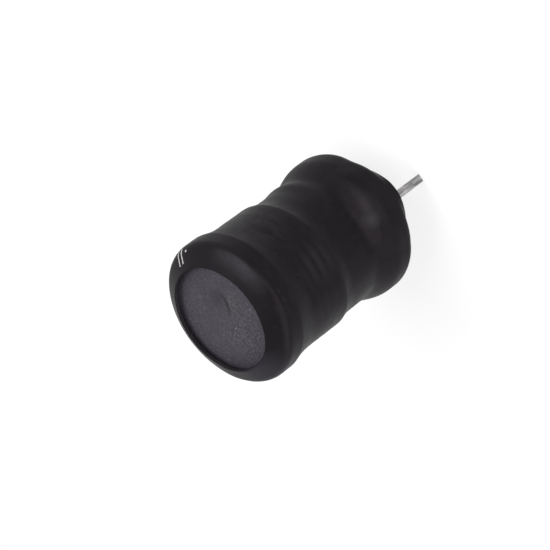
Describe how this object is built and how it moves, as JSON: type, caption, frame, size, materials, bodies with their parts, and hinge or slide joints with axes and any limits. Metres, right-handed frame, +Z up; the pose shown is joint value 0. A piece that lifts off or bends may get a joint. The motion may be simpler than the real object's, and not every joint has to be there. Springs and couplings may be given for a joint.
{
  "type": "drum core inductor",
  "caption": "Radial drum core inductor: ferrite drum wound with enamelled wire in a black heat-shrink sleeve, with tinned wire leads pointing down for a circuit board.",
  "frame": {"origin": "on the drum's axis, in the plane of the sleeve's lower lip, which is the surface of the circuit board, midway between the leads", "axes": "+Z up along the drum's axis towards the open ferrite face, X through both leads with the finish lead on +X"},
  "size_m": [0.0152, 0.0144, 0.0231],
  "materials": {
    "ferrite": "matt sintered grey ferrite",
    "wire": "copper wire, enamelled under the sleeve and tinned on the leads",
    "sleeve": "satin black shrunk tube"
  },
  "bodies": {
    "root": {"drum_core": "ferrite", "winding": "wire", "shrink_sleeve": "sleeve"}
  },
  "joints": []
}
